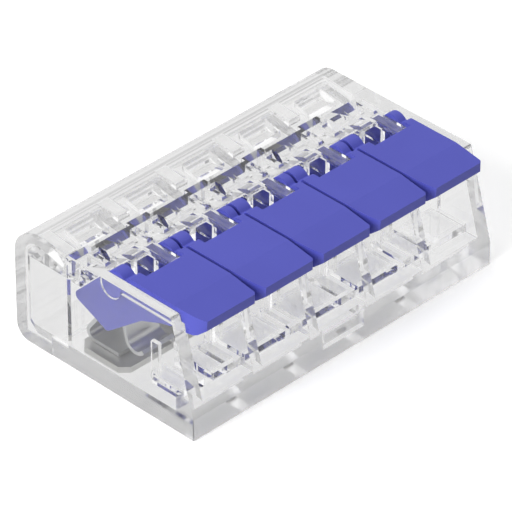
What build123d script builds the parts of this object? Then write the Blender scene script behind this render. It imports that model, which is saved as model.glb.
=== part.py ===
import math
import os

from build123d import *

# Lever splicing connector: a clear moulded housing with five wire bays side by side, a rear
# cap clipped over its back, and in each bay a blue lever over a leaf clamp spring. One busbar
# runs under all the springs and joins the poles. X runs across the poles, Y from the wire side
# to the rear, Z up. Sizes are millimetres, and every y in this file is measured from the
# front face of the base; side() and block() shift it to the centred part.

os.makedirs("parts", exist_ok=True)

# Poles and housing
pole_count = 5
pole_pitch = 5.68
divider_width = 0.9
end_wall_width = 1.15
end_bay_play = 0.1
depth = 17.85
body_height = 9.4
front_step_z = 1.8
front_top_y = 2.15
front_top_radius = 0.25
base_edge_radius = 0.05
floor_z = 2.75
bay_ceiling_z = 7.0
seam_y = 12.5
seam_gap = 0.1
base_rear_margin = 3.75
base_step_z = 1.5

# Lever, shown closed
lever_gap = 0.26
lever_rise = 0.3
lever_front_y = 0.2
lip_top_drop = 0.42
lip_height = 0.76
lip_grip = (0.68, 8.17)
lip_back = (1.62, 8.0)
panel_thickness = 0.98
panel_bend_y = 2.75
panel_back_y = 7.4
panel_back_radius = 0.3
notch_y = 6.6
arm_inner = (-1.65, 2.02)
plate_outer = 2.28
plate_nose = (2.78, 8.07)
plate_shoulder = (3.83, 7.78)
cam_knee = (5.77, 7.0)
cam_heel = (9.23, 4.32)
cam_tail_y = 12.7
cam_radius = 0.45
pivot_y = 8.45
pivot_drop = 0.95
trunnion_radius = 0.95
neck_drop = 0.35
scoop_top = (0.72, 2.75)
scoop_bottom = (0.6, 0.55)
right_corner = (0.2, 0.2)

# Room round the lever
saddle_clearance = 0.08
flange_clearance = 0.17
side_clearance = 0.08

# Clamp spring and busbar
spring_width = 3.0
spring_thickness = 0.3
spring_bend_radius = 0.75
spring_path = [(8.9, 0.0), (12.9, 0.0), (8.7, 5.7), (7.7, 0.6), (6.6, 1.7)]
metal_clearance = 0.05
busbar_y = (7.5, 12.2)
busbar_thickness = 0.5
busbar_corner = 0.65
busbar_end_margin = 0.1

# Chamber under the springs, reaching forward under the floor, and the wire stops in its mouth
chamber_z = 1.28
chamber_front_y = 2.2
chamber_roof_z = 2.45
stop_y = (3.95, 4.65)
stop_reach = 0.35
stop_top_z = 6.0

# Guide blocks on the bay floors, and the test slot behind the front wall of the middle pole
guide_height = 0.65
guide_y = (1.4, 4.6)
guide_slots = ((-1.18, -0.28), (1.04, 1.61), None, (1.04, 1.61), (-1.18, -0.28))
test_wall_x = (-2.15, 1.95)
test_wall_z = (1.15, 2.65)
test_slot_y = (0.2, 0.6)

# Frame over the lever's back: a tongue and a bar in each pole, with pockets beside them
tongue_x = (-0.8, 1.0)
tongue_front_y = 9.0
tongue_thickness = 0.35
leg_x = (-0.8, -0.2)
leg_bottom_z = 7.9
fin_x = (0.86, 1.3)
fin_front_y = 8.45
fin_z = (7.7, 9.0)
bar_x = (1.0, 1.92)
bar_front_y = 6.95
bar_thickness = 0.55
side_pocket_x = ((-2.3, -1.25), (1.74, 2.3))
side_pocket_y = (10.0, 11.75)
side_pocket_depth = 0.7
gap_slot_x = (-1.62, 2.1)
gap_slot_y = (12.12, 12.6)

# Rear cap over the spigot of the housing
cap_wall = 0.7
cap_clearance = 0.1
cap_rear_wall = 0.8
cap_top_radius = 2.0
cap_bottom_radius = 1.2
cap_roof_front_z = 7.75
cap_roof_back_margin = 2.35
cap_roof_back_z = 8.5
cap_cavity_radius = 1.1
spigot_rear_gap = 0.15
spigot_chamfer = 0.8
recess_front_z = 8.6
recess_back_margin = 2.15
rib_width = 1.13
rib_front_y = 13.5
window_x = (-1.3, 1.4)
window_y = (13.55, 15.1)
latch_clearance = 0.12
latch_nose_drop = 0.25

# Worked out from the sizes above
bay_width = pole_pitch - divider_width
body_width = (pole_count - 1) * pole_pitch + bay_width + 2 * (end_wall_width + end_bay_play)
lever_width = pole_pitch - lever_gap
lever_top_z = body_height + lever_rise
panel_bottom_z = lever_top_z - panel_thickness
lip_top_z = lever_top_z - lip_top_drop
lip_bottom_z = lip_top_z - lip_height
divider_top_z = panel_bottom_z - flange_clearance
pivot_z = lever_top_z - pivot_drop
neck_z = lever_top_z - neck_drop
saddle_radius = trunnion_radius + saddle_clearance
roof_line = pivot_y + pivot_z + saddle_radius * math.sqrt(2)
tail_line = pivot_y + pivot_z + trunnion_radius * math.sqrt(2)
lever_zone_half = (pole_count - 1) / 2 * pole_pitch + lever_width / 2 + side_clearance
bay_zone_half = body_width / 2 - end_wall_width
base_rear_y = depth - base_rear_margin
hollow_rear_y = depth - cap_rear_wall
cap_roof_back = (depth - cap_roof_back_margin, cap_roof_back_z)
roof_slope = (cap_roof_back[1] - cap_roof_front_z) / (cap_roof_back[0] - seam_y)
recess_back_y = depth - recess_back_margin
spigot_rear_y = hollow_rear_y - spigot_rear_gap
spigot_half = body_width / 2 - cap_wall - cap_clearance
busbar_z = (chamber_z + metal_clearance, chamber_z + metal_clearance + busbar_thickness)
spigot_bottom_z = cap_wall + cap_clearance
spigot_top_z = cap_roof_back[1] - cap_clearance
recess_slope = (body_height - recess_front_z) / (recess_back_y - seam_y)
front_y = -depth / 2
above = body_height + 3
beyond = depth + 1
before = -1.0
pole_x = [(i - (pole_count - 1) / 2) * pole_pitch for i in range(pole_count)]
middle_pole = pole_count // 2


def side(points):
    """Side view points, from (y from the front face, z) to a sketch on the YZ plane."""
    return [(front_y + y, z) for y, z in points]


def plate(points, x, mode=Mode.ADD, corner=0.0, at=()):
    """A side view outline carried across between two x values, with the corners in at rounded."""
    with BuildSketch(Plane.YZ.offset(x[0])) as outline:
        Polygon(*side(points), align=None)
        for y, z in side([points[k] for k in at]):
            fillet(outline.vertices().sort_by_distance((y, z, 0))[0], corner)
    extrude(outline.sketch, amount=x[1] - x[0], dir=(1, 0, 0), mode=mode)


def block(x, y, z, mode=Mode.ADD):
    """A box between two values each way."""
    with Locations(((x[0] + x[1]) / 2, front_y + (y[0] + y[1]) / 2, (z[0] + z[1]) / 2)):
        Box(x[1] - x[0], y[1] - y[0], z[1] - z[0], mode=mode)


def beside(x, reach):
    """Two x values measured from a pole's centre."""
    return (x + reach[0], x + reach[1])


def round_corner(edge_x, inward, low, high):
    """Cut a lever's front corner to an arc whose reach grows from the lip's underside to its top."""
    sections = []
    for z, (across, along) in ((lip_back[1] - 0.1, low), (lever_top_z + 0.1, high)):
        corner_y = front_y + lever_front_y
        with BuildSketch(Plane.XY.offset(z)) as section:
            with BuildLine():
                Bezier(
                    (edge_x, corner_y + along), (edge_x + 0.2 * inward * across, corner_y + 0.6 * along),
                    (edge_x + 0.75 * inward * across, corner_y + 0.1 * along),
                    (edge_x + inward * across, corner_y),
                )
                Polyline(
                    (edge_x + inward * across, corner_y), (edge_x + inward * across, corner_y - 1),
                    (edge_x - inward, corner_y - 1), (edge_x - inward, corner_y + along),
                    (edge_x, corner_y + along),
                )
            make_face()
        sections.append(section.sketch)
    loft(sections, mode=Mode.SUBTRACT)


def bay_sides(index):
    """The two side faces of a bay, which stands a little wider at the ends of the row."""
    left = pole_x[index] - bay_width / 2 - (end_bay_play if index == 0 else 0)
    right = pole_x[index] + bay_width / 2 + (end_bay_play if index == pole_count - 1 else 0)
    return (left, right)


def spigot_roof(y):
    """Height of the spigot's sloping roof at a given y."""
    return cap_roof_front_z + roof_slope * (y - seam_y) - cap_clearance


# Housing: one clear moulding with a base, two end walls and dividers. Its rear end steps in
# to a spigot that the cap slides over, and a frame over each bay keeps the lever down.
with BuildPart() as front_body:
    plate(
        [(0, 0), (base_rear_y, 0), (base_rear_y, base_step_z), (seam_y, base_step_z),
         (seam_y, body_height), (front_top_y, body_height), (0, front_step_z)],
        (-body_width / 2, body_width / 2), corner=front_top_radius, at=[5],
    )
    front_edges = front_body.edges().filter_by(Axis.Z).group_by(Axis.Y)[0]
    foot_edges = front_body.edges().group_by(Axis.Z)[0].sort_by(Axis.Y)[:-1]
    fillet(front_edges + foot_edges, base_edge_radius)
    plate(
        [(seam_y - 1, spigot_bottom_z), (spigot_rear_y - spigot_chamfer, spigot_bottom_z),
         (spigot_rear_y, spigot_bottom_z + spigot_chamfer),
         (spigot_rear_y, spigot_top_z - spigot_chamfer),
         (spigot_rear_y - spigot_chamfer, spigot_top_z), (cap_roof_back[0], spigot_top_z),
         (seam_y - 1, spigot_roof(seam_y - 1))],
        (-spigot_half, spigot_half),
    )

    # Bays, open to the front and the rear, with the frame left standing over their back
    for i, x in enumerate(pole_x):
        plate(
            [(before, floor_z), (beyond, floor_z), (beyond, bay_ceiling_z),
             (roof_line - bay_ceiling_z, bay_ceiling_z), (roof_line - above, above), (before, above)],
            bay_sides(i), mode=Mode.SUBTRACT,
        )
        block(bay_sides(i), (chamber_front_y, beyond), (chamber_z, chamber_roof_z), mode=Mode.SUBTRACT)
        block(bay_sides(i), (guide_y[1], beyond), (chamber_z, bay_ceiling_z), mode=Mode.SUBTRACT)

    # Room for the lever's flange over the dividers, and the half-round seats of its trunnions
    block(
        (-lever_zone_half, lever_zone_half), (before, pivot_y), (divider_top_z, above),
        mode=Mode.SUBTRACT,
    )
    with BuildSketch(Plane.YZ.offset(-lever_zone_half)) as seat:
        with Locations(*side([(pivot_y, pivot_z)])):
            Circle(saddle_radius)
    extrude(seat.sketch, amount=2 * lever_zone_half, dir=(1, 0, 0), mode=Mode.SUBTRACT)

    # Tongue and bar of each pole with a leg and a fin under them, and the pockets that lighten
    # the frame beside them
    for x in pole_x:
        block(
            beside(x, tongue_x), (tongue_front_y, seam_y), (body_height - tongue_thickness, body_height),
        )
        plate(
            [(tongue_front_y, leg_bottom_z), (roof_line - leg_bottom_z, leg_bottom_z),
             (seam_y, roof_line - seam_y), (seam_y, body_height), (tongue_front_y, body_height)],
            beside(x, leg_x),
        )
        plate(
            [(fin_front_y, fin_z[0]), (roof_line - fin_z[0], fin_z[0]), (seam_y, roof_line - seam_y),
             (seam_y, fin_z[1]), (fin_front_y, fin_z[1])],
            beside(x, fin_x),
        )
        block(
            beside(x, bar_x), (bar_front_y, seam_y), (body_height - bar_thickness, body_height),
        )
        for reach in side_pocket_x:
            block(
                beside(x, reach), side_pocket_y, (body_height - side_pocket_depth, above),
                mode=Mode.SUBTRACT,
            )
        block(beside(x, gap_slot_x), gap_slot_y, (floor_z, above), mode=Mode.SUBTRACT)

    # Guide blocks on the floors, and the wire stops that stand out of the bay's sides behind them
    for i, x in enumerate(pole_x):
        left, right = bay_sides(i)
        block((left, left + stop_reach), stop_y, (floor_z, stop_top_z))
        block((right - stop_reach, right), stop_y, (floor_z, stop_top_z))
        block(bay_sides(i), guide_y, (floor_z, floor_z + guide_height))
        if guide_slots[i]:
            block(
                beside(x, guide_slots[i]), (before, guide_y[1]), (floor_z, above),
                mode=Mode.SUBTRACT,
            )

    # Front wall and test slot of the middle pole
    block(beside(pole_x[middle_pole], test_wall_x), (0, front_top_y), test_wall_z)
    block(
        beside(pole_x[middle_pole], test_wall_x), test_slot_y, (test_wall_z[0], above),
        mode=Mode.SUBTRACT,
    )

    # Channel of the busbar, cut through the dividers from the rear
    block(
        (-bay_zone_half, bay_zone_half), (busbar_y[0] - metal_clearance, beyond),
        (chamber_z, busbar_z[1] + metal_clearance), mode=Mode.SUBTRACT,
    )

    # Latch noses that stand up in the windows of the cap
    for x in pole_x:
        nose_x = (window_x[0] + latch_clearance, window_x[1] - latch_clearance)
        nose_y = (window_y[0] + latch_clearance, window_y[1] - latch_clearance)
        nose_top = recess_front_z + recess_slope * (nose_y[0] - seam_y) - latch_nose_drop
        plate(
            [(nose_y[0], spigot_roof(nose_y[0]) - 0.2), (nose_y[1], spigot_roof(nose_y[1]) - 0.2),
             (nose_y[1], spigot_roof(nose_y[1])), (nose_y[0], nose_top)],
            beside(x, nose_x),
        )

front_body.part.label = "front_body"


# Rear cap: a clear cup that slides over the spigot and snaps under its latch noses.
with BuildPart() as rear_cap:
    cap_front_y = seam_y + seam_gap
    plate(
        [(cap_front_y, base_step_z + seam_gap), (cap_front_y, body_height), (depth, body_height),
         (depth, 0), (base_rear_y + seam_gap, 0), (base_rear_y + seam_gap, base_step_z + seam_gap)],
        (-body_width / 2, body_width / 2), corner=cap_top_radius, at=[2],
    )
    fillet(rear_cap.edges().filter_by(Axis.X).group_by(Axis.Z)[0].sort_by(Axis.Y)[-1], cap_bottom_radius)

    # Hollow for the spigot
    hollow_half = body_width / 2 - cap_wall
    plate(
        [(before, cap_wall), (hollow_rear_y, cap_wall), (hollow_rear_y, cap_roof_back[1]),
         cap_roof_back, (before, cap_roof_front_z + roof_slope * (before - seam_y))],
        (-hollow_half, hollow_half), mode=Mode.SUBTRACT, corner=cap_cavity_radius, at=[2],
    )

    # Recesses between the ribs, and the windows of the latch noses
    for x in pole_x:
        half = (pole_pitch - rib_width) / 2
        plate(
            [(before, recess_front_z + recess_slope * (before - seam_y)), (recess_back_y, body_height),
             (recess_back_y, above), (before, above)],
            (x - half, x + half), mode=Mode.SUBTRACT,
        )
        block(beside(x, window_x), window_y, (spigot_bottom_z + 2, above), mode=Mode.SUBTRACT)
    recess_half = (pole_count - 1) / 2 * pole_pitch + half
    plate(
        [(before, recess_front_z + recess_slope * (before - seam_y)),
         (rib_front_y, recess_front_z + recess_slope * (rib_front_y - seam_y)),
         (rib_front_y, above), (before, above)],
        (-recess_half, recess_half), mode=Mode.SUBTRACT,
    )

rear_cap.part.label = "rear_cap"


# Busbar: one flat tinned strip lying in its channel under all five springs.
with BuildPart() as busbar:
    half = bay_zone_half - busbar_end_margin - metal_clearance
    block((-half, half), busbar_y, busbar_z)
    chamfer(busbar.edges().filter_by(Axis.Z), busbar_corner)

busbar.part.label = "busbar"


# Clamp springs: a stainless strip bent to a loop whose nose presses the wire on the busbar.
springs = []
for i, x in enumerate(pole_x):
    foot_z = busbar_z[1] + metal_clearance
    with BuildPart() as clamp_spring:
        with BuildSketch(Plane.YZ.offset(x - spring_width / 2)):
            with BuildLine():
                FilletPolyline(
                    *side([(y, foot_z + z) for y, z in spring_path]), radius=spring_bend_radius,
                )
                offset(amount=spring_thickness, side=Side.LEFT)
            make_face()
        extrude(amount=spring_width, dir=(1, 0, 0))
    clamp_spring.part.label = f"clamp_spring_{i + 1}"
    springs.append(clamp_spring.part)


# Lever: a blue moulding with a flat panel over the bay, two arms with the trunnions it turns
# on, and two side plates that reach down into the bay as cams beside the spring.
levers = []
for i, x in enumerate(pole_x):
    half = lever_width / 2
    arms = ((-half, arm_inner[0]), (arm_inner[1], half))
    cams = ((-plate_outer, arm_inner[0]), (arm_inner[1], plate_outer))
    with BuildPart() as lever:
        plate(
            [(lever_front_y, lip_bottom_z), lip_grip, lip_back, (lip_back[0] + 0.1, panel_bottom_z),
             (panel_back_y, panel_bottom_z), (panel_back_y, lever_top_z),
             (panel_bend_y, lever_top_z), (lever_front_y, lip_top_z)],
            (x - half, x + half), corner=panel_back_radius, at=[5],
        )
        block(beside(x, arm_inner), (notch_y, beyond), (0, above), mode=Mode.SUBTRACT)
        round_corner(x - half, 1, scoop_bottom, scoop_top)
        round_corner(x + half, -1, right_corner, right_corner)

        # Arms with the trunnions, and the cam plates
        for reach in arms:
            block(beside(x, reach), (notch_y, pivot_y), (panel_bottom_z, neck_z))
            with BuildSketch(Plane.YZ.offset(x + reach[0])) as trunnion:
                with Locations(*side([(pivot_y, pivot_z)])):
                    Circle(trunnion_radius)
            extrude(trunnion.sketch, amount=reach[1] - reach[0], dir=(1, 0, 0))
        for reach in cams:
            plate(
                [(plate_nose[0], panel_bottom_z), plate_nose, plate_shoulder, cam_knee, cam_heel,
                 (cam_tail_y, tail_line - cam_tail_y), (tail_line - pivot_z, pivot_z),
                 (pivot_y, pivot_z)],
                beside(x, reach), corner=cam_radius, at=[4, 5],
            )

    levers.append(lever.part)


export_step(front_body.part, "parts/front_body.step")
export_step(rear_cap.part, "parts/rear_cap.step")
export_step(busbar.part, "parts/busbar.step")
for i in range(pole_count):
    levers[i].label = f"lever_{i + 1}"
    export_step(springs[i], f"parts/clamp_spring_{i + 1}.step")
    export_step(levers[i], f"parts/lever_{i + 1}.step")
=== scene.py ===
"""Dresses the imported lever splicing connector: clear housing, blue levers and the metal inside."""

import math

import bpy
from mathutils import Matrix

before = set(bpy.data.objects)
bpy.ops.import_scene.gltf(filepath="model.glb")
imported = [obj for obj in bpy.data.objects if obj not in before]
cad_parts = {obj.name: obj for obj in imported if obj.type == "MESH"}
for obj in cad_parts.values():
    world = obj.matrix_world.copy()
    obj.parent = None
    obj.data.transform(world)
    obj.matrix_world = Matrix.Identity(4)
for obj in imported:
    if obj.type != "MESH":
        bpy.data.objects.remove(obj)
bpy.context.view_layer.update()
bpy.ops.object.select_all(action="DESELECT")


# Housing and rear cap: injection-moulded polycarbonate in polished moulds, water clear, so the
# eye sees the world bent through its walls and the grey of its edges rather than a surface.


def linear(hex_value):
    """The linear colour of an sRGB hex value."""
    channels = [int(hex_value[i:i + 2], 16) / 255 for i in (1, 3, 5)]
    return [c / 12.92 if c <= 0.04045 else ((c + 0.055) / 1.055) ** 2.4 for c in channels] + [1.0]


def add_node(tree, kind, inputs=None, **settings):
    """Add a node, set its properties, and fill its sockets with values or links.

    Sockets that share a name, as on a Math or a Mix node, go by number.
    """
    node = tree.nodes.new(kind)
    for name, value in settings.items():
        setattr(node, name, value)
    for name, value in (inputs or {}).items():
        if isinstance(value, bpy.types.NodeSocket):
            tree.links.new(value, node.inputs[name])
        else:
            node.inputs[name].default_value = value
    return node


clear_polycarbonate = bpy.data.materials.new("clear_polycarbonate_polished")
clear_polycarbonate.use_nodes = True
tree = clear_polycarbonate.node_tree
shader = tree.nodes["Principled BSDF"]
# The melt's flow leaves waves about 3 mm long in the polish, too low to feel, and they bend what
# is seen through the walls a little. The underside comes from a finely blasted mould face, and
# blurs what is seen through it. The plastic turns faintly grey where it is thick.
place = add_node(tree, "ShaderNodeTexCoord").outputs["Object"]
flow = add_node(tree, "ShaderNodeTexNoise", {"Vector": place, "Scale": 320.0, "Detail": 2.0})
waves = add_node(
    tree, "ShaderNodeBump",
    {"Height": flow.outputs["Fac"], "Strength": 0.3, "Distance": 0.00001},
)
height = add_node(tree, "ShaderNodeSeparateXYZ", {"Vector": place})
underside = add_node(
    tree, "ShaderNodeMapRange",
    {
        "Value": height.outputs["Z"], "From Min": 0.00003, "From Max": 0.00012,
        "To Min": 0.11, "To Max": 0.015,
    },
)
shader.inputs["Base Color"].default_value = linear("#fbfbfb")
tree.links.new(underside.outputs[0], shader.inputs["Roughness"])
tree.links.new(waves.outputs[0], shader.inputs["Normal"])
shader.inputs["IOR"].default_value = 1.585
shader.inputs["Transmission Weight"].default_value = 1.0
absorption = add_node(tree, "ShaderNodeVolumeAbsorption", {"Color": linear("#bcbcbc"), "Density": 18.0})
tree.links.new(absorption.outputs[0], tree.nodes["Material Output"].inputs["Volume"])

for name in ("front_body", "rear_cap"):
    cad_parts[name].data.materials.clear()
    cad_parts[name].data.materials.append(clear_polycarbonate)


# Levers: polyamide moulded in solid blue with a fine spark-eroded grain, so they shine softly
# and show no clear reflections.
lever_blue = bpy.data.materials.new("blue_polyamide_moulded")
lever_blue.use_nodes = True
tree = lever_blue.node_tree
shader = tree.nodes["Principled BSDF"]
# The grain is about 0.08 mm across and breaks up the shine. The pigment drifts by a shade every
# 4 mm, about from one side of a lever to the other, as the melt carried it.
place = add_node(tree, "ShaderNodeTexCoord").outputs["Object"]
grain = add_node(tree, "ShaderNodeTexNoise", {"Vector": place, "Scale": 12000.0, "Detail": 3.0})
pits = add_node(
    tree, "ShaderNodeBump",
    {"Height": grain.outputs["Fac"], "Strength": 0.35, "Distance": 0.000008},
)
dull = add_node(tree, "ShaderNodeMapRange", {"Value": grain.outputs["Fac"], "To Min": 0.42, "To Max": 0.58})
drift = add_node(tree, "ShaderNodeTexNoise", {"Vector": place, "Scale": 260.0, "Detail": 1.0})
pigment = add_node(
    tree, "ShaderNodeMix",
    {0: drift.outputs["Fac"], 6: linear("#494ca9"), 7: linear("#4e52b1")},
    data_type="RGBA",
)
tree.links.new(pigment.outputs[2], shader.inputs["Base Color"])
tree.links.new(dull.outputs[0], shader.inputs["Roughness"])
tree.links.new(pits.outputs[0], shader.inputs["Normal"])
shader.inputs["IOR"].default_value = 1.53
shader.inputs["Specular IOR Level"].default_value = 0.4

for number in range(1, 6):
    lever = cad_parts[f"lever_{number}"]
    lever.data.materials.clear()
    lever.data.materials.append(lever_blue)


# Clamp springs: stainless strip, rolled to a dull shine and then bent. The rolls leave fine
# lines along the strip, which the eye catches as streaks in its reflections.
spring_steel = bpy.data.materials.new("stainless_spring_strip_rolled")
spring_steel.use_nodes = True
tree = spring_steel.node_tree
shader = tree.nodes["Principled BSDF"]
# The lines run along the strip, so the pattern changes every 0.04 mm across it and every 4 mm
# along it.
place = add_node(tree, "ShaderNodeTexCoord").outputs["Object"]
lines = add_node(tree, "ShaderNodeMapping", {"Vector": place, "Scale": (25000.0, 250.0, 250.0)})
lines = add_node(tree, "ShaderNodeTexNoise", {"Vector": lines.outputs[0], "Scale": 1.0, "Detail": 2.0})
streaks = add_node(
    tree, "ShaderNodeMapRange",
    {"Value": lines.outputs["Fac"], "To Min": 0.24, "To Max": 0.42},
)
ridges = add_node(
    tree, "ShaderNodeBump",
    {"Height": lines.outputs["Fac"], "Strength": 0.2, "Distance": 0.000003},
)
tree.links.new(streaks.outputs[0], shader.inputs["Roughness"])
tree.links.new(ridges.outputs[0], shader.inputs["Normal"])
shader.inputs["Base Color"].default_value = linear("#cecfd0")
shader.inputs["Metallic"].default_value = 1.0

for number in range(1, 6):
    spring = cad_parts[f"clamp_spring_{number}"]
    spring.data.materials.clear()
    spring.data.materials.append(spring_steel)


# Busbar: copper strip under a matt tin plate, whose crystals mottle it with slightly duller spots.
tin_plate = bpy.data.materials.new("tin_plated_copper_strip")
tin_plate.use_nodes = True
tree = tin_plate.node_tree
shader = tree.nodes["Principled BSDF"]
# The spots are about half a millimetre wide.
place = add_node(tree, "ShaderNodeTexCoord").outputs["Object"]
crystals = add_node(tree, "ShaderNodeTexNoise", {"Vector": place, "Scale": 2000.0, "Detail": 3.0})
matt = add_node(tree, "ShaderNodeMapRange", {"Value": crystals.outputs["Fac"], "To Min": 0.3, "To Max": 0.5})
tone = add_node(
    tree, "ShaderNodeMix",
    {0: crystals.outputs["Fac"], 6: linear("#c1c1c0"), 7: linear("#d1d0cd")},
    data_type="RGBA",
)
tree.links.new(tone.outputs[2], shader.inputs["Base Color"])
tree.links.new(matt.outputs[0], shader.inputs["Roughness"])
shader.inputs["Metallic"].default_value = 1.0

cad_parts["busbar"].data.materials.clear()
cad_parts["busbar"].data.materials.append(tin_plate)


# Setting: a white table that keeps the connector's soft shadow, and a white room round it. The
# table lies a hair below the base, so that the two faces don't meet.
table_drop = 0.00002
bpy.ops.mesh.primitive_plane_add(size=3.0, location=(0, 0, -table_drop))
floor = bpy.context.object
floor.name = "white_table"
floor_white = bpy.data.materials.new("white_table_painted")
floor_white.use_nodes = True
tree = floor_white.node_tree
shader = tree.nodes["Principled BSDF"]
shader.inputs["Base Color"].default_value = linear("#f2f2f2")
shader.inputs["Roughness"].default_value = 1.0
shader.inputs["Specular IOR Level"].default_value = 0.0
# Looked at straight, the table also glows a little, so that only the faint shadow leaves white.
path = add_node(tree, "ShaderNodeLightPath")
direct = add_node(tree, "ShaderNodeMath", {0: path.outputs["Is Camera Ray"], 1: 0.37}, operation="MULTIPLY")
glow = add_node(tree, "ShaderNodeEmission", {"Color": (1, 1, 1, 1), "Strength": direct.outputs[0]})
both = add_node(tree, "ShaderNodeAddShader")
tree.links.new(shader.outputs[0], both.inputs[0])
tree.links.new(glow.outputs[0], both.inputs[1])
# Through the clear plastic the table shows at one even brightness. What lies inside gets more
# of its light, which makes up for the lamps, whose light isn't followed through clear walls.
inside = add_node(
    tree, "ShaderNodeMath",
    {0: path.outputs["Diffuse Depth"], 1: path.outputs["Is Transmission Ray"]},
    operation="MULTIPLY",
)
inside = add_node(tree, "ShaderNodeMapRange", {"Value": inside.outputs[0], "To Min": 0.88, "To Max": 2.0})
even = add_node(tree, "ShaderNodeEmission", {"Color": (1, 1, 1, 1), "Strength": inside.outputs[0]})
table = add_node(tree, "ShaderNodeMixShader", {"Fac": path.outputs["Is Transmission Ray"]})
tree.links.new(both.outputs[0], table.inputs[1])
tree.links.new(even.outputs[0], table.inputs[2])
tree.links.new(table.outputs[0], tree.nodes["Material Output"].inputs["Surface"])
floor.data.materials.append(floor_white)

world = bpy.data.worlds.new("white_room")
bpy.context.scene.world = world
world.use_nodes = True
tree = world.node_tree
# Reflections and clear walls show the room at full strength. As light on what is matt it is
# weaker, because the lamps do most of that.
path = add_node(tree, "ShaderNodeLightPath")
seen = add_node(
    tree, "ShaderNodeMath",
    {0: path.outputs["Is Glossy Ray"], 1: path.outputs["Is Transmission Ray"]},
    operation="MAXIMUM",
)
strength = add_node(tree, "ShaderNodeMapRange", {"Value": seen.outputs[0], "To Min": 0.3, "To Max": 1.0})
# The room is a shade darker round its walls than at its ceiling, and more so in the gaps
# between its lit panels, which draws the clear edges. Its left wall is lit brightest, and its
# front wall least.
direction = add_node(tree, "ShaderNodeTexCoord").outputs["Generated"]
sky = add_node(tree, "ShaderNodeSeparateXYZ", {"Vector": direction})
panels = add_node(tree, "ShaderNodeTexNoise", {"Vector": direction, "Scale": 3.0, "Detail": 0.0})
panels = add_node(
    tree, "ShaderNodeMapRange",
    {"Value": panels.outputs["Fac"], "From Min": 0.4, "From Max": 0.6, "To Min": 0.5, "To Max": 1.1},
)
walls = add_node(
    tree, "ShaderNodeMapRange",
    {
        "Value": sky.outputs["Z"], "From Min": 0.1, "From Max": 0.7,
        "To Min": panels.outputs[0], "To Max": 1.1,
    },
)
left = add_node(
    tree, "ShaderNodeMapRange",
    {"Value": sky.outputs["X"], "From Min": -0.9, "From Max": -0.3, "To Min": 1.6, "To Max": 1.0},
)
front = add_node(
    tree, "ShaderNodeMapRange",
    {"Value": sky.outputs["Y"], "From Min": -0.9, "From Max": -0.3, "To Min": 0.65, "To Max": 1.0},
)
walls = add_node(tree, "ShaderNodeMath", {0: walls.outputs[0], 1: left.outputs[0]}, operation="MULTIPLY")
walls = add_node(tree, "ShaderNodeMath", {0: walls.outputs[0], 1: front.outputs[0]}, operation="MULTIPLY")
strength = add_node(
    tree, "ShaderNodeMath",
    {0: strength.outputs[0], 1: walls.outputs[0]},
    operation="MULTIPLY",
)
# As from the table, what lies inside the clear walls gets more of the room's light.
inside = add_node(
    tree, "ShaderNodeMath",
    {0: path.outputs["Diffuse Depth"], 1: path.outputs["Is Transmission Ray"]},
    operation="MULTIPLY",
)
inside = add_node(tree, "ShaderNodeMapRange", {"Value": inside.outputs[0], "To Min": 1.0, "To Max": 2.6})
strength = add_node(
    tree, "ShaderNodeMath",
    {0: strength.outputs[0], 1: inside.outputs[0]},
    operation="MULTIPLY",
)
# Looked at straight, the room is white all over.
strength = add_node(
    tree, "ShaderNodeMath",
    {0: strength.outputs[0], 1: path.outputs["Is Camera Ray"]},
    operation="MAXIMUM",
)
tree.links.new(strength.outputs[0], tree.nodes["Background"].inputs["Strength"])
tree.nodes["Background"].inputs["Color"].default_value = (1, 1, 1, 1)

# The lamps give the levers their shading and the table its shadow. They are kept out of
# reflections, where they would burn pale spots into the blue and the clear walls.
for name, spot, size, power in (
    ("softbox_left", (-0.38, 0.04, 0.22), 0.3, 2.15),
    ("softbox_above", (0.05, 0.1, 0.45), 0.35, 0.75),
):
    bpy.ops.object.light_add(type="AREA", location=spot)
    lamp = bpy.context.object
    lamp.name = name
    lamp.data.size = size
    lamp.data.energy = power
    lamp.visible_glossy = False
    lamp.visible_transmission = False
    lamp.rotation_euler = (-lamp.location).to_track_quat("-Z", "Y").to_euler()


# Camera: the photograph's view, from high on the left front, far off with a long lens. The focal
# length and the shifts were fitted in pixels of the photograph.
bpy.ops.object.camera_add()
camera = bpy.context.object
azimuth, elevation, distance = math.radians(-45), math.radians(35.264), 0.37486
aim = (0.0, 0.000075, 0.004)
picture_width = 512
camera.location = (
    aim[0] + distance * math.sin(azimuth) * math.cos(elevation),
    aim[1] - distance * math.cos(azimuth) * math.cos(elevation),
    aim[2] + distance * math.sin(elevation),
)
camera.rotation_euler = (math.pi / 2 - elevation, 0, azimuth)
camera.data.sensor_width = 36
camera.data.lens = 5268.4 / picture_width * camera.data.sensor_width
camera.data.shift_x = 0.912 / picture_width
camera.data.shift_y = -3.572 / picture_width
camera.data.clip_start = 0.01
camera.data.clip_end = 10
bpy.context.scene.camera = camera
bpy.context.scene.view_settings.view_transform = "Standard"
# Light crosses many clear walls, one behind another, and each one takes two bounces.
bpy.context.scene.cycles.max_bounces = 48
bpy.context.scene.cycles.transmission_bounces = 48
bpy.context.scene.cycles.glossy_bounces = 24
